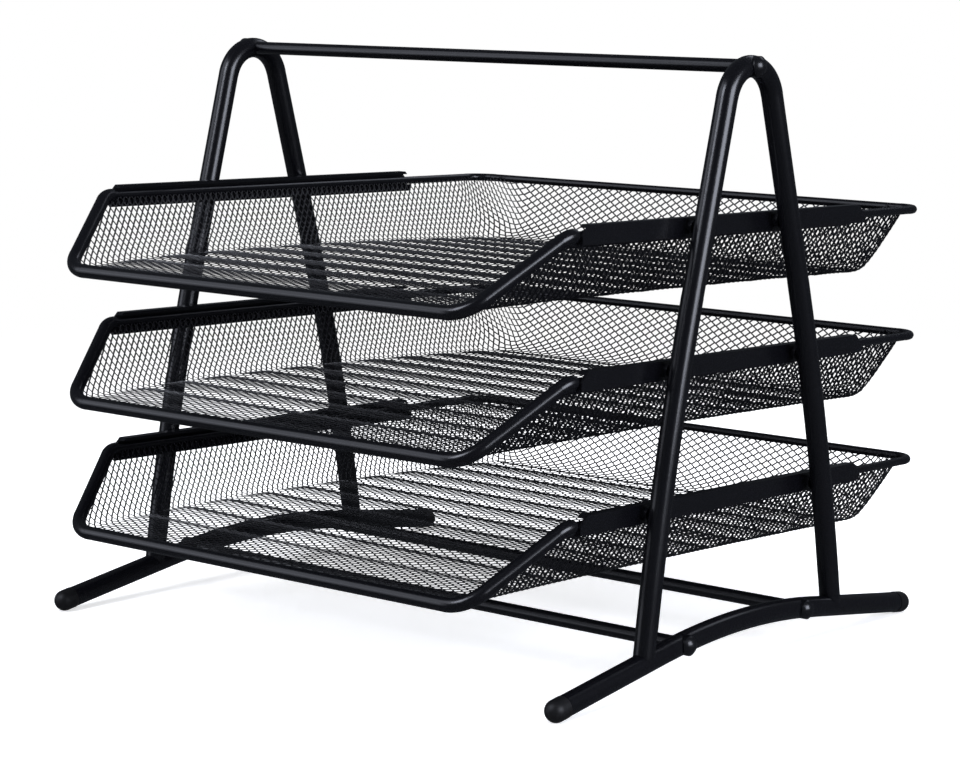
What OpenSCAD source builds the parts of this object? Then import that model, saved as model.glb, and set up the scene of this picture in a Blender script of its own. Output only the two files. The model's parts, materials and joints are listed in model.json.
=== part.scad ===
// Three-tier mesh letter tray on two tube hoops, with trays that slide out to the front.
// Front is -Y, up is +Z, the table is z = 0, all sizes in millimetres.

/* [Stand] */
// distance between the centre planes of the two hoops
frame_gap = 314; // [280:1:360]
// outer diameter of the hoop and foot tubes
tube_d = 10; // [8:0.5:12]
// wall of the hoop and foot tubes
tube_wall = 1; // [0.8:0.1:1.5]
// height of the handle axis above the table
handle_z = 274; // [260:1:300]
// bend radius at the top of a hoop, on the tube axis
apex_r = 18; // [14:1:24]
// slant of the upper legs away from upright, in degrees
leg_slant = 15.3; // [13:0.1:17]
// slant of the lower legs where they stand on the foot, in degrees
toe_slant = 8.5; // [8:0.1:10]
// depth below the handle axis at which a leg starts to bow
bow_start = 100; // [80:1:120]
// radius of the bow in the lower legs
bow_r = 1250; // [1000:10:1500]

/* [Feet] */
// distance between the centres of the two end domes of a foot
foot_span = 270; // [240:1:300]
// slope of the straight foot ends, in degrees
foot_slope = 8.25; // [6:0.25:10]
// radius of the arch in the middle of a foot
foot_arch_r = 400; // [300:10:500]
// outer diameter of the end caps
cap_d = 10.4; // [10.2:0.1:12.6]
// length of the straight collar of an end cap
cap_collar = 5; // [3:0.5:8]
// length of the stem of an end cap inside the tube
cap_stem = 9; // [6:0.5:14]
// how deep the underside of a cap is worn flat
cap_flat = 0.2; // [0.1:0.05:0.4]

/* [Bars and screws] */
// diameter of the handle and of the two crossbars
bar_d = 6.3; // [5.5:0.1:7.5]
// distance of each crossbar from the middle of the foot
crossbar_y = 46.5; // [35:0.5:55]
// diameter of the screw shanks
screw_d = 4; // [3:0.1:4.2]
// diameter of the screw heads
screw_head_d = 9.5; // [8:0.1:9.8]
// height of the domed screw heads beyond the tube
screw_head_h = 3; // [2:0.1:4]
// length of screw inside a bar
screw_grip = 10; // [6:0.5:16]
// height of the straight edge below the dome of a screw head
screw_edge = 0.5; // [0.2:0.1:1]

/* [Tiers] */
// height of the top edge of the upper rails at mid depth
top_rail_z = 207.2; // [198:0.1:215]
// height from one tier to the next
tier_pitch = 63; // [58:0.5:66]
// backward tilt of rails and trays, in degrees
tray_tilt = 1.6; // [0:0.1:3]

/* [Rails] */
// length of a rail
rail_len = 218; // [200:1:224]
// how far the middle of a rail lies behind the middle of the stand
rail_back = 0; // [-3:0.5:3]
// height of a rail
rail_h = 8.7; // [8.2:0.1:10]
// sheet thickness of a rail
rail_t = 1.5; // [1:0.1:1.6]
// width of the flanges inside the rail
rail_flange = 3.3; // [2.6:0.1:3.6]
// size of the cut corners at the upper ends of a rail
rail_chamfer = 5; // [3:0.1:6]
// distance between a rail and the tube that it is welded to
rail_standoff = 3; // [2:0.1:4]
// diameter of the weld studs between rail and legs
stud_d = 6; // [4:0.5:8]

/* [Trays] */
// half width of a tray at the rim, on the wire axis
rim_x = 145; // [142.5:0.1:145.3]
// half width of a tray at the front rod, on the rod axis
floor_x = 124; // [118:0.5:128]
// distance of the front rod axis from the middle
front_y = 156; // [150:0.5:165]
// distance of the rear rim axis from the middle
rear_y = 167; // [166:0.5:172]
// distance of the rear edge of the floor from the middle
floor_rear_y = 165; // [158:0.5:166]
// distance of the upper front bend from the middle
bend_y = 114; // [113.7:0.1:119]
// depth of the rim axis below the top edge of the rail
rim_drop = 4.9; // [4.7:0.05:5]
// depth of the floor below the top edge of the rail
floor_drop = 37; // [34:0.1:42]
// diameter of the rim wire
rim_d = 4; // [3:0.1:4.2]
// diameter of the front rod
rod_d = 6.5; // [5.5:0.1:7.2]
// bend radius of the rear corners of the rim wire
rim_corner_r = 12; // [9:0.5:16]
// bend radius of the front rod below the rim
rod_upper_r = 10; // [7:0.5:11]
// bend radius of the front rod beside the floor
rod_lower_r = 16; // [12:0.5:20]

/* [Mesh] */
// thickness of the mesh sheet
sheet_t = 1; // [0.8:0.1:1.4]
// number of pleats across the floor
pleats = 11; // [8:1:13]
// height of the floor pleats, crest to trough
pleat_h = 1.8; // [1:0.1:2.6]
// number of gaps in each long row of the floor mesh
floor_gaps = 6; // [4:1:8]
// number of gaps along a side wall
wall_gaps = 10; // [6:1:12]
// number of gaps along the rear wall
rear_gaps = 9; // [6:1:11]
// width of the strands between gaps
strand = 3.6; // [2.5:0.1:4.5]
// radius of the bend between floor and rear wall
rear_bend_r = 14; // [8:0.5:15]
// width of the plain edge around each wall
edge_w = 4; // [3:0.5:5]

/* [Clearances] */
// weld gap between pieces that are joined
weld_gap = 0.15; // [0.1:0.05:0.25]
// running gap between rim wire and rail
slide_gap = 0.3; // [0.25:0.05:0.4]
// gap between a front rod and the front end of its rail
stop_gap = 0.8; // [0.5:0.1:1]
// clearance around screw shanks
screw_gap = 0.3; // [0.2:0.05:0.4]
// room left at the bottom of a threaded hole
thread_room = 1; // [0.5:0.1:2]
// clearance around cap stems
stem_gap = 0.15; // [0.1:0.05:0.2]
// distance of the mesh inside the axis of the wire that carries it
mesh_inset = 1; // [0.8:0.1:1.2]
// how much a bent bar swells in its bends
bend_swell = 0.12; // [0.1:0.01:0.2]
// length that a straight bar runs on into its bend
bend_lap = 0.3; // [0.2:0.05:0.4]

/* [Hidden] */
$fn = 32;

steel = [0.10, 0.10, 0.11];
mesh_steel = [0.13, 0.13, 0.14];
screw_steel = [0.20, 0.20, 0.21];
plastic = [0.07, 0.07, 0.07];

hoop_x = frame_gap / 2;
tube_bore = tube_d - 2 * tube_wall;

// the trays reach further to the rear than to the front, so the stand stands a little ahead of the middle
front_reach = front_y * cos(tray_tilt) + floor_drop * sin(tray_tilt) + rod_d / 2;
rear_reach = rear_y * cos(tray_tilt) - rim_drop * sin(tray_tilt) + rim_d / 2;
mid_y = (rear_reach - front_reach) / 2;

// legs: straight from the top bend, then bowed towards upright
leg_top_y = apex_r * cos(leg_slant);
leg_top_z = handle_z - apex_r * (1 - sin(leg_slant));
bow_z = handle_z - bow_start;
bow_y = leg_top_y + (leg_top_z - bow_z) * tan(leg_slant);
function leg_y(z) = z > bow_z
  ? leg_top_y + (leg_top_z - z) * tan(leg_slant)
  : let (a = asin(sin(leg_slant) - (bow_z - z) / bow_r))
    bow_y + bow_r * (cos(a) - cos(leg_slant));

// feet: an arch between two straight ends that slope down to the domes
dome_z = cap_d / 2 - cap_flat;
arch_half = foot_arch_r * sin(foot_slope);
foot_mid_z = dome_z + (foot_span / 2 - arch_half) * tan(foot_slope)
  + foot_arch_r * (1 - cos(foot_slope));
foot_top_z = dome_z + foot_span / 2 * tan(foot_slope);
function foot_z(y) = abs(y) < arch_half
  ? foot_mid_z - foot_arch_r + sqrt(foot_arch_r * foot_arch_r - y * y)
  : foot_top_z - abs(y) * tan(foot_slope);
collar_y = cap_collar * cos(foot_slope);
collar_z = cap_collar * sin(foot_slope);

// the slant of a leg at its foot follows from its bow
toe_z = foot_z(leg_y(foot_mid_z));
toe_turn = asin(sin(leg_slant) - (bow_z - toe_z) / bow_r);
bow_turn = leg_slant - max(toe_slant, toe_turn + 0.3);
bow_len = bow_r * tan(bow_turn / 2);
bow_corner = [bow_y + bow_len * sin(leg_slant), bow_z - bow_len * cos(leg_slant)];
toe_dir = [sin(leg_slant - bow_turn), -cos(leg_slant - bow_turn)];
toe_len = (bow_corner[1] - toe_z) / -toe_dir[1];
apex_z = leg_top_z + leg_top_y / tan(leg_slant);
crossbar_z = foot_z(crossbar_y);

// rails
rail_out_x = hoop_x - tube_d / 2 - rail_standoff;
rail_in_x = rail_out_x - rail_t;
rail_front_y = rail_back - rail_len / 2;
rail_rear_y = rail_back + rail_len / 2;
ledge_z = -rim_drop - rim_d / 2 - slide_gap;

// tray walls, seen in the plane of a side wall: u to the rear, v up the slope
rod_end_y = rail_front_y - stop_gap;
wall_lean = atan2(rim_x - floor_x, floor_drop - rim_drop);
wall_x = floor_x - mesh_inset;
wall_rise = floor_drop - rim_drop;
wall_v1 = sin(wall_lean) * (rim_x - wall_x) + cos(wall_lean) * wall_rise - rim_d / 2 - weld_gap;
rod_v = sin(wall_lean) * mesh_inset;
rod_run = (front_y - bend_y) / norm([rim_x - floor_x, wall_rise]);
rod_clear = (rod_d / 2 + weld_gap) * norm([1, rod_run]);
function front_u(v) = -front_y + (v - rod_v) * rod_run + rod_clear;

// rear wall: y and z of its middle plane
rear_lean = atan2(rear_y - mesh_inset - floor_rear_y, wall_rise);
rear_turn = 90 - rear_lean;
rear_bend_y = floor_rear_y - rear_bend_r * tan(rear_turn / 2);
rear_bend_z = rear_bend_r - floor_drop;
inner_r = rear_bend_r - sheet_t / 2 - weld_gap;
rear_len = wall_rise / cos(rear_lean);
rear_v0 = rear_bend_r * tan(rear_turn / 2);
rear_v1 = rear_len - (rim_d / 2 + weld_gap);
function rear_half(v) = wall_x + v * cos(rear_lean) * tan(wall_lean);
rear_cell = 2 * (wall_x - edge_w) / rear_gaps;
function rear_gap_x(k) = (k + 0.5) * rear_cell - wall_x + edge_w;
function rear_u(v) = floor_rear_y + v * cos(wall_lean) * tan(rear_lean)
  - (sheet_t / 2 + weld_gap) / cos(rear_lean);

// rear corners: above this height the walls give way to facets that follow the round of the rim
corner_h = wall_rise - rim_d / 2 - weld_gap - rim_corner_r;
corner_u = rear_y - rim_corner_r - rim_d / 2;
corner_x = rim_x - rim_corner_r - rim_d / 2;

floor_half = wall_x - sheet_t / 2 - weld_gap;
floor_front_y = -front_y + rod_d / 2 + weld_gap;
floor_len = rear_bend_y - floor_front_y;
pleat = floor_len / pleats;

function unit(v) = v / norm(v);
function way(p, i) = unit(p[i + 1] - p[i]);
function turn(p, i) = acos(way(p, i - 1) * way(p, i));
function trim(p, r, i) = r[i] == 0 ? 0 : r[i] * tan(turn(p, i) / 2);
function reach(p, r, i) = r[i] == 0 ? 0 : trim(p, r, i) - bend_lap;

// a straight round bar from a to b
module bar(a, b, d) {
  v = b - a;
  translate(a)
    rotate([0, acos(v[2] / norm(v)), atan2(v[1], v[0])])
      cylinder(h = norm(v), d = d);
}

// the bend of a round bar at point i of a path
module bend(p, r, i, d) {
  u = way(p, i - 1);
  v = way(p, i);
  n = unit(v - (u * v) * u);
  c = p[i] - u * trim(p, r, i) + n * r[i];
  w = cross(u, n);
  multmatrix([
    [-n[0], u[0], w[0], c[0]],
    [-n[1], u[1], w[1], c[1]],
    [-n[2], u[2], w[2], c[2]],
    [0, 0, 0, 1]
  ])
    rotate_extrude(angle = turn(p, i), $fn = r[i] > 100 ? 360 : 36)
      translate([r[i], 0])
        circle(d = d + bend_swell, $fn = 24);
}

// a round bar along path p with bend radii r
module bent_bar(p, r, d) {
  for (i = [0 : len(p) - 2])
    bar(p[i] + way(p, i) * reach(p, r, i), p[i + 1] - way(p, i) * reach(p, r, i + 1), d);
  for (i = [1 : len(p) - 2])
    bend(p, r, i, d);
}

function hoop_path(s) = [
  [s * hoop_x, -bow_corner[0] - toe_dir[0] * toe_len, toe_z],
  [s * hoop_x, -bow_corner[0], bow_corner[1]],
  [s * hoop_x, 0, apex_z],
  [s * hoop_x, bow_corner[0], bow_corner[1]],
  [s * hoop_x, bow_corner[0] + toe_dir[0] * toe_len, toe_z]
];
hoop_bends = [0, bow_r, apex_r, bow_r, 0];

function foot_path(s) = [
  [s * hoop_x, -foot_span / 2 + collar_y, dome_z + collar_z],
  [s * hoop_x, 0, foot_top_z],
  [s * hoop_x, foot_span / 2 - collar_y, dome_z + collar_z]
];
foot_bends = [0, foot_arch_r, 0];

function rim_path() = [
  [-rim_x, rod_end_y, -rim_drop],
  [-rim_x, rear_y, -rim_drop],
  [rim_x, rear_y, -rim_drop],
  [rim_x, rod_end_y, -rim_drop]
];
rim_bends = [0, rim_corner_r, rim_corner_r, 0];

function rod_path() = [
  [-rim_x, rod_end_y, -rim_drop],
  [-rim_x, -bend_y, -rim_drop],
  [-floor_x, -front_y, -floor_drop],
  [floor_x, -front_y, -floor_drop],
  [rim_x, -bend_y, -rim_drop],
  [rim_x, rod_end_y, -rim_drop]
];
rod_bends = [0, rod_upper_r, rod_lower_r, rod_lower_r, rod_upper_r, 0];

// frame of the stand, whose hoops stand at y = 0
module stand() {
  translate([0, -mid_y, 0])
    children();
}

// frame of a tier: 0 is the top one
module tier(i) {
  translate([0, -mid_y, top_rail_z - i * tier_pitch])
    rotate([-tray_tilt, 0, 0])
      children();
}

// bore across a tube for a screw
module screw_bore(s, y, z) {
  translate([s * hoop_x, y, z])
    rotate([0, 90, 0])
      cylinder(h = 2 * tube_d, d = screw_d + screw_gap, center = true);
}

module hoop(s) {
  color(steel)
    stand() difference() {
      bent_bar(hoop_path(s), hoop_bends, tube_d);
      bent_bar(hoop_path(s), hoop_bends, tube_bore);
      bent_bar(foot_path(s), foot_bends, tube_d + 2 * weld_gap);
      screw_bore(s, 0, handle_z);
    }
}

module foot(s) {
  color(steel)
    stand() difference() {
      bent_bar(foot_path(s), foot_bends, tube_d);
      bent_bar(foot_path(s), foot_bends, tube_bore);
      screw_bore(s, -crossbar_y, crossbar_z);
      screw_bore(s, crossbar_y, crossbar_z);
    }
}

// end cap of a foot: e is -1 in front, 1 at the rear
module cap(s, e) {
  color(plastic)
    stand() difference() {
      translate([s * hoop_x, e * foot_span / 2, dome_z])
        rotate([e * (90 - foot_slope), 0, 0])
          union() {
            sphere(d = cap_d, $fn = 24);
            cylinder(h = cap_collar - weld_gap, d = cap_d);
            cylinder(h = cap_collar + cap_stem, d = tube_bore - 2 * stem_gap);
          }
      translate([s * hoop_x, e * foot_span / 2, -cap_d])
        cube(2 * cap_d, center = true);
    }
}

// a bar between the tubes, with a threaded hole in each end
module cross_member(y, z) {
  translate([0, y, z])
    rotate([0, 90, 0])
      difference() {
        cylinder(h = frame_gap, d = bar_d, center = true);
        for (s = [-1, 1])
          translate([0, 0, s * (hoop_x - tube_d / 2 - screw_grip / 2)])
            cylinder(h = screw_grip + tube_d, d = screw_d + screw_gap, center = true);
      }
}

module handle() {
  color(steel)
    stand() difference() {
      cross_member(0, handle_z);
      for (s = [-1, 1])
        bent_bar(hoop_path(s), hoop_bends, tube_d + 2 * weld_gap);
    }
}

module crossbar(e) {
  color(steel)
    stand() difference() {
      cross_member(e * crossbar_y, crossbar_z);
      for (s = [-1, 1])
        bent_bar(foot_path(s), foot_bends, tube_d + 2 * weld_gap);
    }
}

// domed screw whose head saddles the tube
module screw(s, y, z) {
  dome_r = (screw_head_d * screw_head_d / 4 + screw_head_h * screw_head_h) / (2 * screw_head_h);
  translate([s * hoop_x, y, z])
    rotate([0, s * 90, 0]) {
      cylinder(h = tube_d / 2 + screw_edge, d = screw_head_d);
      translate([0, 0, tube_d / 2 + screw_edge])
        intersection() {
          translate([0, 0, screw_head_h - screw_edge - dome_r])
            sphere(r = dome_r, $fn = 40);
          cylinder(h = screw_head_h, d = screw_head_d);
        }
      translate([0, 0, -tube_d / 2 - screw_grip + thread_room])
        cylinder(h = tube_d + screw_grip, d = screw_d);
    }
}

module rail(i, s) {
  color(steel)
    intersection() {
      union() {
        tier(i)
          translate([0, rail_front_y, 0])
            rotate([-90, 0, 0])
              linear_extrude(rail_len)
                rail_section(s);
        stand() for (e = [-1, 1])
          rail_stud(i, s, e);
      }
      tier(i)
        rotate([90, 0, 90])
          linear_extrude(2 * frame_gap, center = true)
            polygon([
              [rail_front_y, -rail_h],
              [rail_front_y, -rail_chamfer],
              [rail_front_y + rail_chamfer, 0],
              [rail_rear_y - rail_chamfer, 0],
              [rail_rear_y, -rail_chamfer],
              [rail_rear_y, -rail_h]
            ]);
    }
}

// rail section, open to the inside; y runs down here
module rail_section(s) {
  difference() {
    translate([s > 0 ? rail_in_x - rail_flange : -rail_out_x, 0])
      square([rail_t + rail_flange, rail_h]);
    translate([s > 0 ? rail_in_x - 2 * rail_flange : -rail_in_x, rail_t])
      square([2 * rail_flange, -ledge_z - rail_t]);
  }
}

module rail_stud(i, s, e) {
  z0 = top_rail_z - i * tier_pitch - rail_h / 2;
  y = e * leg_y(z0);
  z = z0 - y * tan(tray_tilt);
  translate([s * (rail_out_x - rail_t / 2), y, z])
    rotate([0, s * 90, 0])
      cylinder(h = rail_t / 2 + rail_standoff - weld_gap, d = stud_d);
}

module rim(i) {
  color(steel)
    tier(i)
      bent_bar(rim_path(), rim_bends, rim_d);
}

module front_rod(i) {
  color(steel)
    tier(i)
      bent_bar(rod_path(), rod_bends, rod_d);
}

// a mesh gap: a diamond with half sizes a and b
module gap(a, b) {
  polygon([[-a, 0], [0, -b], [a, 0], [0, b]]);
}

module floor_pattern() {
  cell = 2 * floor_half / floor_gaps;
  a = cell / 2 - strand / 2 * norm([cell, pleat]) / pleat;
  b = pleat / 2 - strand / 2 * norm([cell, pleat]) / cell;
  difference() {
    translate([-floor_half, floor_front_y])
      square([2 * floor_half, floor_len - weld_gap]);
    for (k = [1 : 2 * pleats - 1])
      for (j = [0 : floor_gaps - 1 - (k + 1) % 2])
        translate([(j + 0.5 + (k + 1) % 2 / 2) * cell - floor_half, floor_front_y + k * pleat / 2])
          gap(a, b);
  }
}

// pleated floor: crests and troughs run across the tray
module floor_net(i) {
  h = pleat_h / 2;
  crest = [for (k = [0 : 2 * pleats]) [floor_front_y + k * pleat / 2, k % 2 == 0 ? -h : h]];
  color(mesh_steel)
    tier(i)
      translate([0, 0, -floor_drop])
        intersection() {
          translate([0, 0, -pleat_h - sheet_t])
            linear_extrude(2 * pleat_h + 2 * sheet_t)
              floor_pattern();
          rotate([90, 0, 90])
            linear_extrude(3 * floor_half, center = true)
              polygon(concat(
                [for (c = crest) [c[0], c[1] + sheet_t / 2]],
                [for (k = [2 * pleats : -1 : 0]) [crest[k][0], crest[k][1] - sheet_t / 2]]
              ));
        }
}

module wall_pattern() {
  v0 = (sheet_t / 2 + weld_gap) / cos(wall_lean);
  vm = (v0 + wall_v1) / 2;
  half = (wall_v1 - v0) / 2 - edge_w;
  corner_v = corner_h / cos(wall_lean);
  u0 = front_u(vm) + edge_w + rod_run * half / 2;
  cell = (rear_u(vm) - edge_w - u0) / wall_gaps;
  difference() {
    polygon(concat(
      [
        [front_u(rod_lower_r / 3) - rod_run * rod_lower_r / 9, v0],
        [front_u(rod_lower_r / 3), rod_lower_r / 3],
        [front_u(wall_v1), wall_v1],
        [corner_u, wall_v1],
        [rear_u(corner_v), corner_v]
      ],
      [for (a = [rear_turn : -rear_turn / 5 : 0])
        [rear_bend_y + inner_r * sin(a), (rear_bend_r - inner_r * cos(a)) / cos(wall_lean)]]
    ));
    for (k = [0 : wall_gaps - 1])
      translate([u0 + (k + 0.5) * cell, vm])
        gap(cell / 2 - strand / 2, half);
  }
}

module side_wall(i, s) {
  color(mesh_steel)
    tier(i)
      mirror([s < 0 ? 1 : 0, 0, 0])
        multmatrix([
          [0, sin(wall_lean), cos(wall_lean), wall_x],
          [1, 0, 0, 0],
          [0, cos(wall_lean), -sin(wall_lean), -floor_drop],
          [0, 0, 0, 1]
        ])
          linear_extrude(sheet_t, center = true)
            wall_pattern();
}

// flat part of the rear wall: x across, v up from the edge of the floor
module rear_pattern() {
  vm = (rear_v0 + rear_v1) / 2;
  corner_v = corner_h / cos(rear_lean);
  difference() {
    polygon([
      [-rear_half(rear_v0), rear_v0 - bend_lap],
      [rear_half(rear_v0), rear_v0 - bend_lap],
      [rear_half(corner_v), corner_v],
      [corner_x, rear_v1],
      [-corner_x, rear_v1],
      [-rear_half(corner_v), corner_v]
    ]);
    for (k = [0 : rear_gaps - 1])
      translate([rear_gap_x(k), vm])
        gap(rear_cell / 2 - strand / 2, (rear_v1 - rear_v0) / 2 - edge_w / 2);
  }
}

// the bend between floor and rear wall, with a row of gaps
module rear_bend() {
  r1 = rear_bend_r - sheet_t / 2;
  r2 = rear_bend_r + sheet_t / 2;
  arc = [for (k = [0 : 5]) k * rear_turn / 5];
  difference() {
    rotate([90, 0, 90])
      linear_extrude(2 * wall_x, center = true)
        polygon(concat(
          [for (a = arc) [r2 * sin(a), -r2 * cos(a)]],
          [for (k = [5 : -1 : 0]) [r1 * sin(arc[k]), -r1 * cos(arc[k])]]
        ));
    for (k = [0 : rear_gaps - 1])
      rotate([rear_turn / 2, 0, 0])
        translate([rear_gap_x(k), 0, -rear_bend_r])
          linear_extrude(rear_bend_r, center = true)
            gap(rear_cell / 2 - strand / 2, rear_bend_r * sin(rear_turn / 2) - edge_w);
  }
}

// two facets that close a rear corner under the round of the rim
module rear_corner() {
  v = corner_h / cos(rear_lean);
  mid_r = (rim_corner_r - mesh_inset) * sin(45);
  p = [
    [wall_x + wall_v1 * sin(wall_lean), corner_u + sheet_t + weld_gap, wall_v1 * cos(wall_lean)],
    [rim_x - rim_corner_r + mid_r, rear_y - rim_corner_r + mid_r,
      wall_rise - rim_d / 2 - weld_gap - sheet_t / 2],
    [corner_x - sheet_t, floor_rear_y + rear_v1 * sin(rear_lean), rear_v1 * cos(rear_lean)],
    [rear_half(v), floor_rear_y + v * sin(rear_lean), corner_h]
  ];
  translate([0, 0, -floor_drop])
    polyhedron(
      points = concat(p, [for (q = p) q - sheet_t * [cos(45), sin(45), 0]]),
      faces = [
        [0, 1, 3], [1, 2, 3], [4, 7, 5], [5, 7, 6],
        [1, 0, 4, 5], [2, 1, 5, 6], [3, 2, 6, 7], [0, 3, 7, 4]
      ]
    );
}

module rear_wall(i) {
  color(mesh_steel)
    tier(i) {
      translate([0, floor_rear_y, -floor_drop])
        rotate([90 - rear_lean, 0, 0])
          linear_extrude(sheet_t, center = true)
            rear_pattern();
      translate([0, rear_bend_y, rear_bend_z])
        rear_bend();
      for (s = [0, 1])
        mirror([s, 0, 0])
          rear_corner();
    }
}

module left_hoop() { hoop(-1); }
module right_hoop() { hoop(1); }
module left_foot() { foot(-1); }
module right_foot() { foot(1); }
module left_front_cap() { cap(-1, -1); }
module left_rear_cap() { cap(-1, 1); }
module right_front_cap() { cap(1, -1); }
module right_rear_cap() { cap(1, 1); }

module handle_screws() {
  color(screw_steel)
    stand() for (s = [-1, 1])
      difference() {
        screw(s, 0, handle_z);
        difference() {
          bent_bar(hoop_path(s), hoop_bends, tube_d + 2 * weld_gap);
          screw_bore(s, 0, handle_z);
        }
      }
}

module crossbar_screws() {
  color(screw_steel)
    stand() for (s = [-1, 1])
      for (e = [-1, 1])
        difference() {
          screw(s, e * crossbar_y, crossbar_z);
          difference() {
            bent_bar(foot_path(s), foot_bends, tube_d + 2 * weld_gap);
            screw_bore(s, e * crossbar_y, crossbar_z);
          }
        }
}

left_hoop();
right_hoop();
left_foot();
right_foot();
left_front_cap();
left_rear_cap();
right_front_cap();
right_rear_cap();
handle();  // handle_bar
crossbar(-1);  // front_crossbar
crossbar(1);  // rear_crossbar
handle_screws();
crossbar_screws();
rail(0, -1);  // top_left_rail
rail(0, 1);  // top_right_rail
rail(1, -1);  // middle_left_rail
rail(1, 1);  // middle_right_rail
rail(2, -1);  // bottom_left_rail
rail(2, 1);  // bottom_right_rail
rim(0);  // top_rim
front_rod(0);  // top_front_rod
floor_net(0);  // top_floor
side_wall(0, -1);  // top_left_wall
side_wall(0, 1);  // top_right_wall
rear_wall(0);  // top_rear_wall
rim(1);  // middle_rim
front_rod(1);  // middle_front_rod
floor_net(1);  // middle_floor
side_wall(1, -1);  // middle_left_wall
side_wall(1, 1);  // middle_right_wall
rear_wall(1);  // middle_rear_wall
rim(2);  // bottom_rim
front_rod(2);  // bottom_front_rod
floor_net(2);  // bottom_floor
side_wall(2, -1);  // bottom_left_wall
side_wall(2, 1);  // bottom_right_wall
rear_wall(2);  // bottom_rear_wall
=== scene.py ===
"""Looks of a three-tier mesh letter tray: pressed expanded-metal trays, black powder-coated tubes
and rails."""

import json
import math

import bmesh
import bpy
import numpy as np
from mathutils import Matrix, Vector


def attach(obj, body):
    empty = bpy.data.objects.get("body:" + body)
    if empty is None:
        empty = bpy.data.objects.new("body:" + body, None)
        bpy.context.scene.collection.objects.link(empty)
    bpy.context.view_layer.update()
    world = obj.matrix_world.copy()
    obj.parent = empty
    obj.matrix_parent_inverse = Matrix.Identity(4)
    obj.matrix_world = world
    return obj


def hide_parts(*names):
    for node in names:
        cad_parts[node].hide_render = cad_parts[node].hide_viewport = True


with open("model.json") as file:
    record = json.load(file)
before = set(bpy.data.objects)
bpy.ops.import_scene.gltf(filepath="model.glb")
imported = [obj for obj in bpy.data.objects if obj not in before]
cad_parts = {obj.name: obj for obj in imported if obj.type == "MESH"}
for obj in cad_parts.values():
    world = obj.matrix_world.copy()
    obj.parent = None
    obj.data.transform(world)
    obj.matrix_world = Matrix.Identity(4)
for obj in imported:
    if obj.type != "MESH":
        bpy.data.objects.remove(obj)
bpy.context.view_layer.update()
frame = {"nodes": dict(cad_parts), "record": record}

bl_info = {
    "name": "Mesh Letter Tray",
    "version": (1, 0, 0),
    "blender": (4, 5, 0),
    "location": "View3D > Sidebar > Letter Tray",
    "description": "Dresses a three-tier mesh letter tray in expanded metal and black powder coat",
    "category": "Object",
}

MM = 0.001
TIERS = ("top", "middle", "bottom")
SIDES = ("left", "right")

# Points closer than this are one point, in metres
WELD = 1e-6
# Grid on which the corners of neighbouring diamonds meet, in metres
SNAP = 2e-6
# Edges that turn more than this stay crisp
SHARP = math.radians(32)


# Sizes and colours

def metres(name, default, description):
    return bpy.props.FloatProperty(
        name=name, description=description, default=default, unit="LENGTH")


def srgb(name, default, description):
    return bpy.props.StringProperty(
        name=name, description=description + ", sRGB hex", default=default)


class TraySizes(bpy.types.PropertyGroup):
    """Sizes of one tray, in the frame of its tier: y to the rear, z up from the rail's top edge"""

    top_rail_z: metres(
        "Top Rail Height", 0.2072, "Height of the top edge of the upper rails at mid depth")
    tier_pitch: metres("Tier Pitch", 0.063, "Height from one tier to the next")
    tilt: bpy.props.FloatProperty(
        name="Tilt", description="Backward tilt of rails and trays",
        default=math.radians(1.6), subtype="ANGLE")
    middle_y: metres(
        "Stand Middle", 0.004288,
        "How far the middle of the stand lies ahead of the middle of the object")
    rim_x: metres("Rim Half Width", 0.145, "Half width at the rim wire's axis")
    floor_x: metres("Floor Half Width", 0.124, "Half width at the front rod's axis")
    front_y: metres("Front", 0.156, "Distance of the front rod's axis from the middle")
    bend_y: metres(
        "Upper Bend", 0.114, "Distance of the front rod's upper bend from the middle")
    rear_y: metres("Rear", 0.167, "Distance of the rear rim's axis from the middle")
    floor_rear_y: metres(
        "Floor Rear", 0.165, "Distance of the floor's rear edge from the middle")
    rim_drop: metres("Rim Drop", 0.0049, "Depth of the rim's axis below the rail's top edge")
    floor_drop: metres("Floor Drop", 0.037, "Depth of the floor below the rail's top edge")
    inset: metres("Mesh Inset", 0.001, "How far the mesh lies inside the axis of its wire")
    side_bend: metres("Side Bend", 0.007, "Radius of the bend between floor and side walls")
    rear_bend: metres("Rear Bend", 0.014, "Radius of the bend between floor and rear wall")
    corner: metres(
        "Floor Corner", 0.010,
        "Radius of the floor's rear corners, from which the drawn corners open out")
    rim_corner: bpy.props.FloatProperty(
        name="Rim Corner",
        description="How square the drawn corners are under the rim, 2 for round",
        default=2.8, min=2.0, max=8.0)
    rail_length: metres("Rail Length", 0.218, "Length of the rails")


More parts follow.
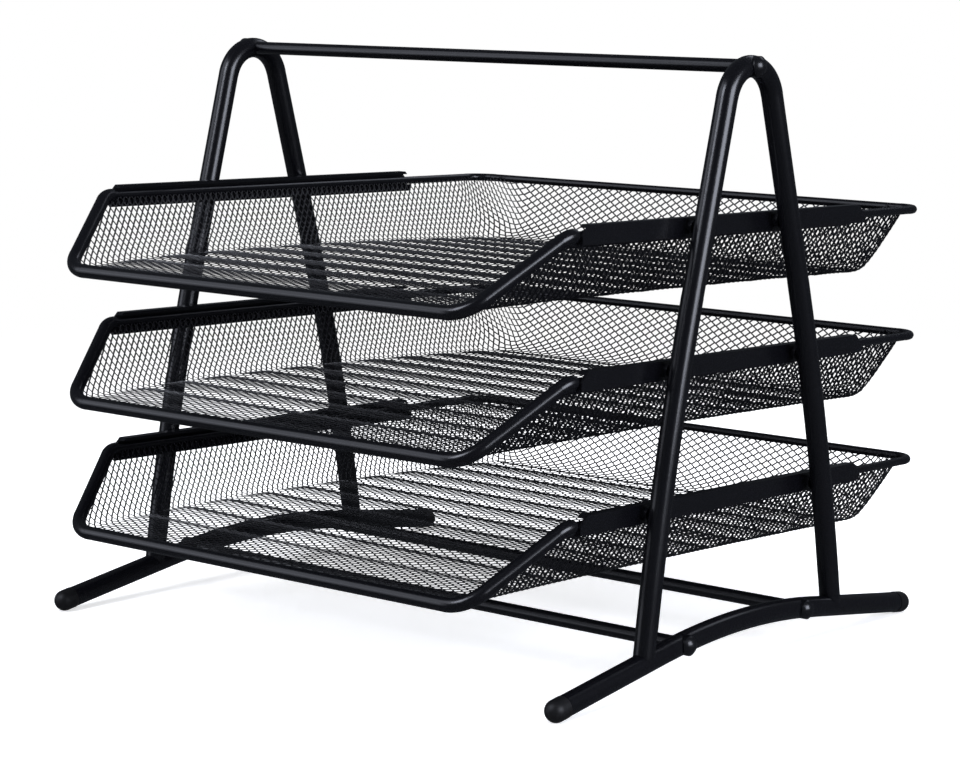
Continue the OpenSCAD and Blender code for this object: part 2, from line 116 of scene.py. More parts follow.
class MeshSizes(bpy.types.PropertyGroup):
    """Sizes of the expanded metal"""

    long_way: metres("Long Way", 0.0067, "Long diagonal of a diamond, knuckle to knuckle")
    short_way: metres("Short Way", 0.0037, "Short diagonal of a diamond, knuckle to knuckle")
    floor_opening: bpy.props.FloatVectorProperty(
        name="Floor Opening",
        description="Long and short diagonal of a gap in the floor as a share of its diamond",
        size=2, default=(0.77, 0.76), min=0.5, max=0.95)
    wall_opening: bpy.props.FloatVectorProperty(
        name="Wall Opening",
        description="Long and short diagonal of a gap in the walls as a share of its diamond",
        size=2, default=(0.73, 0.79), min=0.5, max=0.95)
    thickness: metres("Thickness", 0.0003, "Thickness of the strands")
    floor_twist: metres(
        "Floor Twist", 0.00036,
        "How far stretching has lifted the front edge of a strand in the floor")
    wall_twist: metres(
        "Wall Twist", 0.00025, "The same in the walls, which bending has flattened and turned")
    lean: bpy.props.FloatVectorProperty(
        name="Lean", description="How far the strands of the left, rear and right wall lean round "
        "the tray, clockwise from above, per unit of height", size=3, default=(0.26, 0.32, 0.55))
    first_rib: metres(
        "First Rib", 0.0213, "Distance of the first rib's front flank behind the front rod's axis")
    rib_pitch: metres("Rib Pitch", 0.0281, "Distance from rib to rib")
    rib_height: metres("Rib Height", 0.0015, "Height of the pressed floor ribs")
    rib_fade: metres(
        "Rib Fade", 0.003, "Length over which the ribs run out beside the walls")
    crown: metres(
        "Floor Crown", 0.0026, "How much the middle of the floor stands above its ends")


class Finishes(bpy.types.PropertyGroup):
    """Colours and gloss"""

    coat: srgb("Powder Coat", "060609", "Colour of the powder coat")
    coat_dust: srgb("Powder Coat Light", "0D0E12", "Lighter grain in the powder coat")
    coat_gloss: bpy.props.FloatProperty(
        name="Coat Roughness", description="Mean roughness of the powder coat",
        default=0.24, min=0.0, max=1.0, subtype="FACTOR")
    plastic: srgb("Cap Plastic", "070708", "Colour of the end caps")
    floor: srgb("Floor", "F4F4F4", "Colour of the studio floor")


def hex_rgba(text):
    """sRGB hex to linear RGBA."""
    def linear(c):
        return c / 12.92 if c <= 0.04045 else ((c + 0.055) / 1.055) ** 2.4
    return (*(linear(int(text[i:i + 2], 16) / 255) for i in (0, 2, 4)), 1.0)


# Materials

def add(tree, kind, links=(), values=None, **settings):
    """Adds a node, sets its attributes and input values, and links (output socket, input) pairs."""
    node = tree.nodes.new(kind)
    for key, value in settings.items():
        setattr(node, key, value)
    for key, value in (values or {}).items():
        node.inputs[key].default_value = value
    for socket, key in links:
        tree.links.new(socket, node.inputs[key])
    return node


def new_material(name):
    material = bpy.data.materials.new(name)
    material.use_nodes = True
    tree = material.node_tree
    tree.nodes.clear()
    out = add(tree, "ShaderNodeOutputMaterial")
    shader = add(tree, "ShaderNodeBsdfPrincipled")
    tree.links.new(shader.outputs["BSDF"], out.inputs["Surface"])
    coords = add(tree, "ShaderNodeTexCoord")
    return material, tree, shader, coords.outputs["Object"]


def noise(tree, where, size_mm, detail):
    """Noise with features of a real size."""
    return add(tree, "ShaderNodeTexNoise", [(where, "Vector")],
               {"Scale": 1 / (size_mm * MM), "Detail": detail}).outputs["Fac"]


def surface(tree, shader, tone, gloss, bump):
    tree.links.new(tone.outputs["Color"], shader.inputs["Base Color"])
    tree.links.new(gloss.outputs["Result"], shader.inputs["Roughness"])
    tree.links.new(bump.outputs["Normal"], shader.inputs["Normal"])


def powder_coat(name, dark, light, roughness, peel_mm, peel_strength):
    """Baked black powder coat: satin to semi-gloss, with a fine orange peel that breaks up each
    highlight and a faint lighter grain where the powder lies thinner."""
    grain_mm, grain_range = 0.35, (0.45, 0.80)
    film_mm, film_gloss = 35, 0.05
    peel_height = 0.05 * MM
    material, tree, shader, where = new_material(name)
    # orange peel: bumps about a millimetre across
    peel = noise(tree, where, peel_mm, 2.0)
    grain = noise(tree, where, grain_mm, 1.0)
    # slow change in film thickness, a few centimetres long
    film = noise(tree, where, film_mm, 2.0)
    tone = add(tree, "ShaderNodeValToRGB", [(grain, "Fac")])
    for stop, position, colour in zip(tone.color_ramp.elements, grain_range, (dark, light)):
        stop.position = position
        stop.color = hex_rgba(colour)
    gloss = add(tree, "ShaderNodeMapRange", [(film, "Value")],
                {"To Min": roughness - film_gloss, "To Max": roughness + film_gloss})
    bump = add(tree, "ShaderNodeBump", [(peel, "Height")],
               {"Strength": peel_strength, "Distance": peel_height})
    surface(tree, shader, tone, gloss, bump)
    return material


def moulded_plastic(name, dark):
    """Moulded polyethylene: dull black, with the fine spark-eroded texture of the mould."""
    light, light_from = "101012", 0.9
    texture_mm, texture_strength, texture_height = 0.5, 0.25, 0.06 * MM
    smoothest, roughest, shine = 0.40, 0.55, 0.3
    material, tree, shader, where = new_material(name)
    texture = noise(tree, where, texture_mm, 3.0)
    tone = add(tree, "ShaderNodeValToRGB", [(texture, "Fac")])
    for stop, position, colour in zip(tone.color_ramp.elements, (0, light_from), (dark, light)):
        stop.position = position
        stop.color = hex_rgba(colour)
    gloss = add(tree, "ShaderNodeMapRange", [(texture, "Value")],
                {"To Min": smoothest, "To Max": roughest})
    bump = add(tree, "ShaderNodeBump", [(texture, "Height")],
               {"Strength": texture_strength, "Distance": texture_height})
    surface(tree, shader, tone, gloss, bump)
    # the texture swallows part of the shine
    shader.inputs["Specular IOR Level"].default_value = shine
    return material


def finish(name):
    """The named finish, made once."""
    found = bpy.data.materials.get(name)
    if found:
        return found
    looks = bpy.context.scene.letter_tray_finishes
    if name == "black_polyethylene":
        return moulded_plastic(name, looks.plastic)
    # lighter grain, roughness, size of the orange peel in mm and its strength
    coats = {
        "black_powder_coated_steel": (looks.coat_dust, looks.coat_gloss, 1.1, 0.35),
        "black_powder_coated_mesh": (looks.coat_dust, looks.coat_gloss + 0.06, 0.8, 0.25),
        "black_oxide_screw": ("141518", 0.28, 0.6, 0.15),
    }
    return powder_coat(name, looks.coat, *coats[name])


# Placing

def hand_over(name, mesh, body, material_slot, *nodes):
    """Links a finished mesh, lets it ride on its body and stand for the CAD nodes it replaces."""
    piece = bpy.data.objects.new(name, mesh)
    bpy.context.scene.collection.objects.link(piece)
    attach(piece, body)
    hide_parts(*nodes)


def body_of(node):
    bodies = frame["record"]["behaviour"]["bodies"]
    return next(body for body, nodes in bodies.items() if node in nodes)


def smooth_copy(name, node, material, material_slot, strip=None):
    """A copy of a CAD node with its triangles joined, so that round bars shade round and real
    edges stay crisp. A strip is added to it as a profile at either end."""
    bm = bmesh.new()
    bm.from_mesh(frame["nodes"][node].data)
    bmesh.ops.remove_doubles(bm, verts=bm.verts, dist=WELD)
    if strip:
        front, rear = ([bm.verts.new(point) for point in end] for end in strip)
        faces = [bm.faces.new((front[i - 1], front[i], rear[i], rear[i - 1]))
                 for i in range(len(front))]
        faces += [bm.faces.new(front[::-1]), bm.faces.new(rear)]
        bmesh.ops.recalc_face_normals(bm, faces=faces)
    for face in bm.faces:
        face.smooth = True
        face.material_index = 0
    for edge in bm.edges:
        edge.smooth = len(edge.link_faces) == 2 and edge.calc_face_angle(math.pi) < SHARP
    mesh = bpy.data.meshes.new(name)
    bm.to_mesh(mesh)
    bm.free()
    mesh.materials.append(material)
    hand_over(name, mesh, body_of(node), material_slot, node)


def tier_matrix(tray, index):
    """From the frame of a tier to the frame of the object."""
    height = tray.top_rail_z - index * tray.tier_pitch
    return Matrix.Translation((0, -tray.middle_y, height)) @ Matrix.Rotation(-tray.tilt, 4, "X")


# Expanded metal

# The flat lattice reaches this far past the floor at the sides and the rear, and at the front
WALL_BLANK, FRONT_BLANK = 0.08, 0.02
# A diamond is kept if its middle lies this far behind the front rod's axis or more, and this far
# above the rim's axis or less; the edge of the sheet ends a little higher, on the rim wire
ROD_CLEAR, RIM_LAP, EDGE_LAP = 0.0012, 0.0002, 0.0008
# A rib in shares of the pitch: how far ahead its front flank starts, how long that is, where the
# rear flank starts and how long that is
RIB_LEAD, FRONT_FLANK, RIB_TOP_END, REAR_FLANK = 0.16, 0.32, 0.695, 0.47
# The ribs grow to their full height over this length
RIB_GROWTH = 0.06
# The crown's top lies towards the front, the more the lower this power is
CROWN_FRONT = 0.75
# By what share the crown is higher at the left edge, and lower at the right one
CROWN_LEFT = 0.5


class TrayForm:
    """The pressed tray as a surface: a flat lattice point is carried over floor, bends and walls"""

    def __init__(self, tray, mesh):
        rise = tray.floor_drop - tray.rim_drop
        rear_run = tray.rear_y - tray.inset - tray.floor_rear_y
        self.tray, self.mesh, self.rise = tray, mesh, rise
        self.side_turn = math.pi / 2 - math.atan2(tray.rim_x - tray.floor_x, rise)
        self.rear_turn = math.pi / 2 - math.atan2(rear_run, rise)
        self.side_edge = (tray.floor_x - tray.inset
                          - tray.side_bend * math.tan(self.side_turn / 2))
        self.rear_edge = tray.floor_rear_y - tray.rear_bend * math.tan(self.rear_turn / 2)
        self.front_edge = -tray.front_y
        self.run = (tray.front_y - tray.bend_y) / rise

    @staticmethod
    def ease(share):
        """Rises smoothly from 0 to 1."""
        share = np.clip(share, 0, 1)
        return share * share * (3 - 2 * share)

    def rib(self, behind):
        """Height of the ribs from 0 to 1: a steep front flank, a flat top, a gentle rear flank and
        a narrow valley, where the rear flank meets the next rib."""
        share = (behind - self.mesh.first_rib) / self.mesh.rib_pitch + RIB_LEAD
        share = share - np.floor(share)
        return (self.ease(share / FRONT_FLANK) - self.ease((share - RIB_TOP_END) / REAR_FLANK)
                + 1 - self.ease((share + 1 - RIB_TOP_END) / REAR_FLANK))

    @staticmethod
    def fold(past, radius, turn):
        """How high a point comes that lies this far past the start of a bend."""
        over = np.maximum(past, 0.0)
        angle = np.minimum(over / radius, turn)
        straight = np.maximum(over - radius * turn, 0.0)
        return radius * (1 - np.cos(angle)) + straight * math.sin(turn)

    @staticmethod
    def reach(height, edge, radius, turn):
        """How far out a wall stands at a height above the floor."""
        bend_top = radius * (1 - math.cos(turn))
        angle = np.arccos(np.clip(1 - height / radius, -1, 1))
        low = edge + radius * np.sin(np.minimum(angle, turn))
        high = edge + radius * math.sin(turn) + (height - bend_top) / math.tan(turn)
        return np.where(height < bend_top, low, high)

    def draw(self, across, along):
        """A point of the flat lattice to x, y and height above the floor: the sheet is folded up at
        the sides and the rear, and drawn round the rear corners."""
        tray = self.tray
        side, right = np.abs(across), np.copysign(1.0, across)
        # strands lean where bending has dragged them
        left_lean, rear_lean, right_lean = self.mesh.lean
        side_lean = np.where(right > 0, -right_lean, left_lean)
        side, along = (side + right * rear_lean * np.maximum(along - self.rear_edge, 0.0),
                       along + side_lean * np.maximum(side - self.side_edge, 0.0))
        mid_x, mid_y = self.side_edge - tray.corner, self.rear_edge - tray.corner
        dx, dy = np.maximum(side - mid_x, 0.0), np.maximum(along - mid_y, 0.0)
        angle = np.arctan2(dy, dx)
        past = np.hypot(dx, dy) - tray.corner
        side_up = self.fold(past, tray.side_bend, self.side_turn)
        rear_up = self.fold(past, tray.rear_bend, self.rear_turn)
        share = self.ease(angle / (math.pi / 2))
        height = np.clip((1 - share) * side_up + share * rear_up, 0.0, self.rise + EDGE_LAP)
        # round at the floor, squarer under the rim
        power = 2 / (2 + (tray.rim_corner - 2) * self.ease(height / self.rise))
        wall_x = self.reach(height, self.side_edge, tray.side_bend, self.side_turn)
        wall_y = self.reach(height, self.rear_edge, tray.rear_bend, self.rear_turn)
        reach_x = np.where(height > 0, wall_x - mid_x, tray.corner + past)
        reach_y = np.where(height > 0, wall_y - mid_y, tray.corner + past)
        x = np.where(dx > 0, mid_x + reach_x * np.cos(angle) ** power, side)
        y = np.where(dy > 0, mid_y + reach_y * np.sin(angle) ** power, along)
        return right * x, y, height

    def press(self, across, along):
        """Flat lattice points to points of the tray in the tier's frame."""
        x, y, height = self.draw(across, along)
        behind = along - self.front_edge
        # the ribs run out beside the walls and are shallower at the front
        fade = self.ease((self.side_edge - np.abs(across)) / self.mesh.rib_fade)
        fade = fade * (along < self.rear_edge)
        rib_height = self.mesh.rib_height * self.ease(behind / RIB_GROWTH)
        # the floor is slightly crowned, more to the left
        share = np.clip(behind / (self.rear_edge - self.front_edge), 0, 1) ** CROWN_FRONT
        bow = 4 * share * (1 - share) * (1 - self.ease(2 * height / self.rise))
        bow *= 1 - CROWN_LEFT * np.clip(across / self.side_edge, -1, 1)
        relief = rib_height * (self.rib(behind) - 0.5) * fade + self.mesh.crown * bow
        return np.stack([x, y, height - self.tray.floor_drop + relief], axis=-1)

    def keeps(self, across, along):
        """Which diamonds belong to the tray, by their middles."""
        _, y, height = self.draw(across, along)
        behind_rod = y > self.front_edge + self.run * height + ROD_CLEAR
        return behind_rod & (height < self.rise + RIM_LAP)

    def sheet(self):
        """The pressed sheet, floor and walls, as one quad for each diamond and the way its short
        diagonal runs."""
        a, b = self.mesh.long_way / 2, self.mesh.short_way / 2
        span = int((self.side_edge + WALL_BLANK) / a)
        first = int((self.front_edge - FRONT_BLANK) / b)
        last = int((self.rear_edge + WALL_BLANK) / b)
        i, j = np.meshgrid(np.arange(-span, span + 1), np.arange(first, last + 1), indexing="ij")
        even = (i + j) % 2 == 0
        across, along = i[even] * a, j[even] * b
        keep = self.keeps(across, along)
        across, along = across[keep], along[keep]
        corners = ((-a, 0), (0, -b), (a, 0), (0, b))
        quads = np.stack([self.press(across + u, along + v) for u, v in corners], axis=1)
        rows = quads[:, 3] - quads[:, 1]
        rows /= np.linalg.norm(rows, axis=1)[:, None]
        floor = (np.abs(across) <= self.side_edge) & (along <= self.rear_edge)
        return {"floor": (quads[floor], rows[floor]), "walls": (quads[~floor], rows[~floor])}


def sheet_mesh(name, quads, rows, place):
    """The quads of a pressed sheet, moved to its tier, as a mesh that knows each diamond's row."""
    turn, shift = place[:3, :3].T, place[:3, 3]
    points = quads.reshape(-1, 3) @ turn + shift
    keys, where = np.unique(np.round(points / SNAP).astype(np.int64), axis=0, return_inverse=True)
    corners = np.zeros((len(keys), 3))
    corners[where.ravel()] = points
    mesh = bpy.data.meshes.new(name)
    mesh.from_pydata(corners.tolist(), [], where.reshape(-1, 4).tolist())
    row = mesh.attributes.new("row", "FLOAT_VECTOR", "FACE")
    row.data.foreach_set("vector", (rows @ turn).astype(np.float32).ravel())
    return mesh


def vector(tree, operation, first, second):
    """Vector maths on two sockets, of which the second is the factor of a SCALE."""
    node = add(tree, "ShaderNodeVectorMath", operation=operation,
               links=[(first, 0), (second, "Scale" if operation == "SCALE" else 1)])
    return node.outputs["Value" if operation == "DOT_PRODUCT" else "Vector"]


def expanded_metal_tree():
    """Turns each quad of a pressed sheet into a diamond gap with four twisted strands round it."""
    found = bpy.data.node_groups.get("Expanded Metal")
    if found:
        return found
    tree = bpy.data.node_groups.new("Expanded Metal", "GeometryNodeTree")
    for name, kind in (("Geometry", "Geometry"), ("Long Opening", "Float"),
                       ("Short Opening", "Float"), ("Thickness", "Float"), ("Twist", "Float"),
                       ("Short Way", "Float"), ("Rounded", "Bool"), ("Material", "Material")):
        tree.interface.new_socket(name, in_out="INPUT", socket_type="NodeSocket" + kind)
    tree.interface.new_socket("Geometry", in_out="OUTPUT", socket_type="NodeSocketGeometry")
    size = add(tree, "NodeGroupInput").outputs
    out = add(tree, "NodeGroupOutput")
    place = add(tree, "GeometryNodeInputPosition").outputs["Position"]
    normal = add(tree, "GeometryNodeInputNormal").outputs["Normal"]
    row = add(tree, "GeometryNodeInputNamedAttribute", values={"Name": "row"},
              data_type="FLOAT_VECTOR")
    middle = add(tree, "GeometryNodeCaptureAttribute", [(size["Geometry"], "Geometry")],
                 domain="FACE")
    middle.capture_items.new("VECTOR", "Middle")
    tree.links.new(place, middle.inputs["Middle"])
    # the gap: each face shrinks towards its middle, more the long way so that knuckles form, and
    # is cut out
    inset = add(tree, "GeometryNodeExtrudeMesh", [(middle.outputs["Geometry"], "Mesh")],
                {"Offset Scale": 0.0, "Individual": True}, mode="FACES")
    away = vector(tree, "SUBTRACT", place, middle.outputs["Middle"])
    along = vector(tree, "DOT_PRODUCT", away, row.outputs["Attribute"])
    short = vector(tree, "SCALE", row.outputs["Attribute"], along)
    long = vector(tree, "SUBTRACT", away, short)
    short_gap = vector(tree, "SCALE", short, size["Short Opening"])
    long_gap = vector(tree, "SCALE", long, size["Long Opening"])
    gap = vector(tree, "ADD", short_gap, long_gap)
    # the twist: one edge of each strand is lifted, the other pressed down
    share = add(tree, "ShaderNodeMath", [(along, 0), (size["Short Way"], 1)], operation="DIVIDE")
    rise = add(tree, "ShaderNodeMath", [(share.outputs["Value"], 0), (size["Twist"], 1)],
               operation="MULTIPLY")
    step = vector(tree, "SCALE", normal, rise.outputs["Value"])
    lift = vector(tree, "ADD", gap, step)
    goal = vector(tree, "ADD", middle.outputs["Middle"], lift)
    twist = add(tree, "GeometryNodeSetPosition",
                [(inset.outputs["Mesh"], "Geometry"), (inset.outputs["Top"], "Selection"),
                 (goal, "Position")])
    lattice = add(tree, "GeometryNodeDeleteGeometry",
                  [(twist.outputs["Geometry"], "Geometry"), (inset.outputs["Top"], "Selection")],
                  domain="FACE")
    # the thickness, half to each side
    half = add(tree, "ShaderNodeMath", [(size["Thickness"], 0)], {1: -0.5}, operation="MULTIPLY")
    down = vector(tree, "SCALE", normal, half.outputs["Value"])
    lower = add(tree, "GeometryNodeSetPosition",
                [(lattice.outputs["Geometry"], "Geometry"), (down, "Offset")])
    upper = add(tree, "GeometryNodeExtrudeMesh",
                [(lower.outputs["Geometry"], "Mesh"), (size["Thickness"], "Offset Scale")],
                {"Individual": False}, mode="FACES")
    under = add(tree, "GeometryNodeFlipFaces", [(lower.outputs["Geometry"], "Mesh")])
    both = add(tree, "GeometryNodeJoinGeometry",
               [(upper.outputs["Mesh"], "Geometry"), (under.outputs["Mesh"], "Geometry")])
    weld = add(tree, "GeometryNodeMergeByDistance", [(both.outputs["Geometry"], "Geometry")],
               {"Distance": WELD})
    real = add(tree, "GeometryNodeRealizeInstances", [(weld.outputs["Geometry"], "Geometry")])
    # the coat rounds the edges of the strands, except where the ribbing dies have pressed them flat
    rounded = add(tree, "GeometryNodeSetShadeSmooth",
                  [(real.outputs["Geometry"], "Geometry"), (size["Rounded"], "Shade Smooth")])
    coat = add(tree, "GeometryNodeSetMaterial",
               [(rounded.outputs["Geometry"], "Geometry"), (size["Material"], "Material")])
    tree.links.new(coat.outputs["Geometry"], out.inputs["Geometry"])
    return tree


def grown(name, mesh, tree, values):
    """Runs a node tree on a mesh and gives the result as a plain mesh."""
    seed = bpy.data.objects.new(name + "_seed", mesh)
    bpy.context.scene.collection.objects.link(seed)
    modifier = seed.modifiers.new("Grow", "NODES")
    modifier.node_group = tree
    for item in tree.interface.items_tree:
        if item.item_type == "SOCKET" and item.in_out == "INPUT" and item.name in values:
            modifier[item.identifier] = values[item.name]
    depsgraph = bpy.context.evaluated_depsgraph_get()
    result = bpy.data.meshes.new_from_object(seed.evaluated_get(depsgraph))
    result.name = name
    seed.modifiers.clear()
    bpy.data.objects.remove(seed)
    if not result.polygons:
        raise RuntimeError(f"{name} came out empty")
    return result


# Rails

# The rolled inner lip: x of the right-hand rail and height from its top edge, in mm
LIP_PROFILE = ((145.9, -7.2), (143.5, -7.2), (143.1, -7.5), (142.0, -10.0), (142.4, -10.4),
               (143.0, -10.2), (143.9, -8.7), (145.9, -8.7))
# How far it runs out at the front of the rail, and stays back at the rear, in metres
LIP_AHEAD, LIP_BACK = 0.004, 0.003


def rail_lip(tray, index, side):
    """The rolled inner lip of a rail, under the rim wire and down beside the mesh, as a profile at
    either end."""
    place, end = tier_matrix(tray, index), tray.rail_length / 2
    right = 1 if side == "right" else -1
    return [[place @ Vector((right * x * MM, y, z * MM)) for x, z in LIP_PROFILE]
            for y in (-end - LIP_AHEAD, end - LIP_BACK)]


# Studio

# Half the width of the paper, how far it lies under the feet, and where it starts to fade out and
# is gone, in metres
PAPER_HALF, PAPER_DROP, PAPER_FADE = 3.0, 0.0002, (0.35, 1.1)
PAPER_ROUGHNESS, PAPER_SHINE, PAPER_GLOW = 0.9, 0.1, 0.65
WHITE = (1, 1, 1, 1)
FILL_COLOUR, FILL_STRENGTH = (0.8, 0.88, 1.0, 1), 0.07
# Where the lights point
LIGHT_TARGET = Vector((0, 0, 0.13))
# Azimuth and elevation in degrees, distance, width and height in metres, power in watts
LIGHTS = {
    "soft_top": (0, 90, 2.2, 3.0, 3.0, 75),
    "soft_front": (-11, 36, 1.8, 0.6, 0.75, 12),
    "soft_left": (-47, 28, 1.8, 0.9, 1.3, 5),
    "low_left": (-40, 4, 1.8, 1.0, 0.7, 2.4),
    "soft_right": (89, 17, 1.8, 1.1, 0.9, 27),
    "soft_back": (180, 41, 1.8, 1.2, 0.35, 2.0),
}
TOP_COLOUR, SIDE_COLOUR = (0.97, 0.98, 1.0), (0.83, 0.87, 1.0)
# The camera: focal length in pixels of a picture this wide, the point it looks at and the distance
# from there in mm, and its direction and roll in degrees
PICTURE_WIDTH, FOCAL_PIXELS = 960, 2868.0
LOOK_AT, CAMERA_DISTANCE = (-1.12, -4.71, 114.45), 1408.0
CAMERA_AZIMUTH, CAMERA_ELEVATION, CAMERA_ROLL = 40.526, 8.853, 0.136


def direction(azimuth, elevation):
    """The way from the object to a point round it: azimuth 0 is the front, 90 the right."""
    a, e = math.radians(azimuth), math.radians(elevation)
    return Vector((math.sin(a) * math.cos(e), -math.cos(a) * math.cos(e), math.sin(e)))


def lay_paper(scene):
    mesh = bpy.data.meshes.new("studio_floor")
    half = PAPER_HALF
    mesh.from_pydata([(-half, -half, 0), (half, -half, 0), (half, half, 0), (-half, half, 0)],
                     [], [(0, 1, 2, 3)])
    floor = bpy.data.objects.new("studio_floor", mesh)
    floor.location.z = -PAPER_DROP
    # the coat mirrors the dim studio, not the pale paper it stands on
    floor.visible_glossy = False
    scene.collection.objects.link(floor)
    material, tree, shader, where = new_material("matt_paper_floor")
    shader.inputs["Base Color"].default_value = hex_rgba(scene.letter_tray_finishes.floor)
    shader.inputs["Roughness"].default_value = PAPER_ROUGHNESS
    shader.inputs["Specular IOR Level"].default_value = PAPER_SHINE
    # light that comes up through the paper keeps the shadow faint
    shader.inputs["Emission Color"].default_value = WHITE
    shader.inputs["Emission Strength"].default_value = PAPER_GLOW
    # the paper runs out into the white of the studio
    away = add(tree, "ShaderNodeVectorMath", [(where, 0)], operation="LENGTH")
    fade = add(tree, "ShaderNodeMapRange", [(away.outputs["Value"], "Value")],
               {"From Min": PAPER_FADE[0], "From Max": PAPER_FADE[1], "To Min": 1.0, "To Max": 0.0},
               interpolation_type="SMOOTHSTEP")
    tree.links.new(fade.outputs["Result"], shader.inputs["Alpha"])
    mesh.materials.append(material)


def whiten_world(scene):
    """White to the camera, a faint cool fill to the object."""
    world = bpy.data.worlds.new("studio_white")
    world.use_nodes = True
    tree = world.node_tree
    tree.nodes.clear()
    out = add(tree, "ShaderNodeOutputWorld")
    path = add(tree, "ShaderNodeLightPath")
    seen = add(tree, "ShaderNodeBackground", values={"Color": WHITE, "Strength": 1.0})
    fill = add(tree, "ShaderNodeBackground",
               values={"Color": FILL_COLOUR, "Strength": FILL_STRENGTH})
    mix = add(tree, "ShaderNodeMixShader",
              [(path.outputs["Is Camera Ray"], "Fac"), (fill.outputs["Background"], 1),
               (seen.outputs["Background"], 2)])
    tree.links.new(mix.outputs["Shader"], out.inputs["Surface"])
    scene.world = world


def hang_light(scene, name, azimuth, elevation, distance, width, height, power):
    """The top light whitens the floor only; the others draw the highlights on the tubes."""
    light = bpy.data.lights.new(name, "AREA")
    light.shape = "RECTANGLE"
    light.size, light.size_y, light.energy = width, height, power
    light.color = TOP_COLOUR if name == "soft_top" else SIDE_COLOUR
    lamp = bpy.data.objects.new(name, light)
    lamp.visible_glossy = name != "soft_top"
    away = direction(azimuth, elevation)
    lamp.location = LIGHT_TARGET + away * distance
    lamp.rotation_euler = (-away).to_track_quat("-Z", "Y").to_euler()
    scene.collection.objects.link(lamp)


def set_camera(scene):
    lens = bpy.data.cameras.new("photo_camera")
    lens.sensor_width = 36.0
    lens.lens = FOCAL_PIXELS * lens.sensor_width / PICTURE_WIDTH
    lens.clip_start, lens.clip_end = 0.05, 60
    camera = bpy.data.objects.new("photo_camera", lens)
    back = direction(CAMERA_AZIMUTH, CAMERA_ELEVATION)
    camera.location = Vector(LOOK_AT) * MM + back * (CAMERA_DISTANCE * MM)
    turn = (-back).to_track_quat("-Z", "Y").to_matrix().to_4x4()
    roll = Matrix.Rotation(math.radians(CAMERA_ROLL), 4, "Z")
    camera.rotation_euler = (turn @ roll).to_euler()
    scene.collection.objects.link(camera)
    scene.camera = camera
    scene.view_settings.view_transform = "Standard"


# Operators

class LETTERTRAY_OT_stage(bpy.types.Operator):
    """Set the floor, the soft studio light and the camera"""

    bl_idname = "letter_tray.stage"
    bl_label = "Studio"

    def execute(self, context):
        scene = context.scene
        lay_paper(scene)
        whiten_world(scene)
        for name, light in LIGHTS.items():
            hang_light(scene, name, *light)
        set_camera(scene)
        return {"FINISHED"}


class LETTERTRAY_OT_mesh(bpy.types.Operator):
    """Press the three expanded-metal trays"""

    bl_idname = "letter_tray.mesh"
    bl_label = "Mesh Trays"

    def execute(self, context):
        tray, metal = context.scene.letter_tray_sizes, context.scene.letter_tray_mesh
        nodes = {"floor": ("floor",), "walls": ("left_wall", "right_wall", "rear_wall")}
        opening = {"floor": metal.floor_opening, "walls": metal.wall_opening}
        twist = {"floor": metal.floor_twist, "walls": metal.wall_twist}
        parts = TrayForm(tray, metal).sheet()
        for index, tier in enumerate(TIERS):
            place = np.array(tier_matrix(tray, index))
            for part, (quads, rows) in parts.items():
                name = f"{tier}_mesh_{part}"
                sheet = sheet_mesh(f"{tier}_{part}_sheet", quads, rows, place)
                mesh = grown(name, sheet, expanded_metal_tree(), {
                    "Long Opening": opening[part][0],
                    "Short Opening": opening[part][1],
                    "Thickness": metal.thickness,
                    "Twist": twist[part],
                    "Short Way": metal.short_way / 2,
                    "Rounded": part == "walls",
                    "Material": finish("black_powder_coated_mesh"),
                })
                hand_over(name, mesh, tier + "_tray", "black_mesh",
                          *(f"{tier}_{node}" for node in nodes[part]))
        return {"FINISHED"}


class LETTERTRAY_OT_wires(bpy.types.Operator):
    """Finish the rim wires and front rods of the trays"""

    bl_idname = "letter_tray.wires"
    bl_label = "Rims and Rods"

    def execute(self, context):
        steel = finish("black_powder_coated_steel")
        for tier in TIERS:
            smooth_copy(tier + "_rim_wire", tier + "_rim", steel, "black_steel")
            smooth_copy(tier + "_front_bar", tier + "_front_rod", steel, "black_steel")
        return {"FINISHED"}


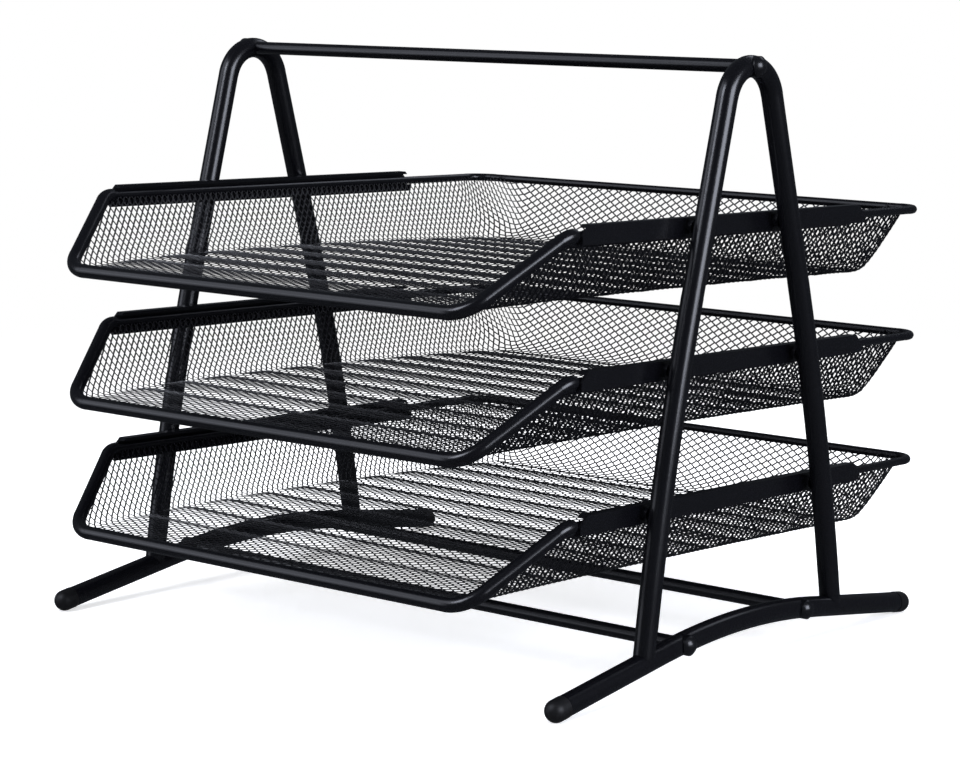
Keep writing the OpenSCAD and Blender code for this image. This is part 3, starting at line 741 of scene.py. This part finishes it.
class LETTERTRAY_OT_stand(bpy.types.Operator):
    """Finish the hoops, feet, bars and rails of the stand"""

    bl_idname = "letter_tray.stand"
    bl_label = "Stand"

    def execute(self, context):
        steel, tray = finish("black_powder_coated_steel"), context.scene.letter_tray_sizes
        for side in SIDES:
            smooth_copy(side + "_hoop_tube", side + "_hoop", steel, "black_steel")
            smooth_copy(side + "_foot_tube", side + "_foot", steel, "black_steel")
            for index, tier in enumerate(TIERS):
                smooth_copy(f"{tier}_{side}_runner", f"{tier}_{side}_rail", steel, "black_steel",
                            rail_lip(tray, index, side))
        for bar in ("handle_bar", "front_crossbar", "rear_crossbar"):
            smooth_copy(bar + "_rod", bar, steel, "black_steel")
        return {"FINISHED"}


class LETTERTRAY_OT_fittings(bpy.types.Operator):
    """Finish the screws and the end caps"""

    bl_idname = "letter_tray.fittings"
    bl_label = "Screws and Caps"

    def execute(self, context):
        for node in ("handle_screws", "crossbar_screws"):
            smooth_copy(node + "_domed", node, finish("black_oxide_screw"), "screw_steel")
        for side in SIDES:
            for end in ("front", "rear"):
                smooth_copy(f"{side}_{end}_end_cap", f"{side}_{end}_cap",
                            finish("black_polyethylene"), "cap_plastic")
        return {"FINISHED"}


class LETTERTRAY_PT_panel(bpy.types.Panel):
    """Sizes, finishes and steps of the letter tray"""

    bl_label = "Letter Tray"
    bl_idname = "LETTERTRAY_PT_panel"
    bl_space_type = "VIEW_3D"
    bl_region_type = "UI"
    bl_category = "Letter Tray"

    def draw(self, context):
        for group in GROUPS:
            box = self.layout.box()
            settings = getattr(context.scene, group)
            for key in settings.__annotations__:
                box.prop(settings, key)
        for step in STEPS:
            self.layout.operator(step.bl_idname)


GROUPS = {
    "letter_tray_sizes": TraySizes,
    "letter_tray_mesh": MeshSizes,
    "letter_tray_finishes": Finishes,
}
STEPS = (LETTERTRAY_OT_stage, LETTERTRAY_OT_mesh, LETTERTRAY_OT_wires, LETTERTRAY_OT_stand,
         LETTERTRAY_OT_fittings)
CLASSES = (*GROUPS.values(), *STEPS, LETTERTRAY_PT_panel)


def register():
    for cls in CLASSES:
        bpy.utils.register_class(cls)
    for name, group in GROUPS.items():
        setattr(bpy.types.Scene, name, bpy.props.PointerProperty(type=group))


def unregister():
    for name in GROUPS:
        delattr(bpy.types.Scene, name)
    for cls in reversed(CLASSES):
        bpy.utils.unregister_class(cls)


def main():
    register()
    bpy.ops.letter_tray.stage()
    bpy.ops.letter_tray.mesh()
    bpy.ops.letter_tray.wires()
    bpy.ops.letter_tray.stand()
    bpy.ops.letter_tray.fittings()


if __name__ == "__main__":
    main()
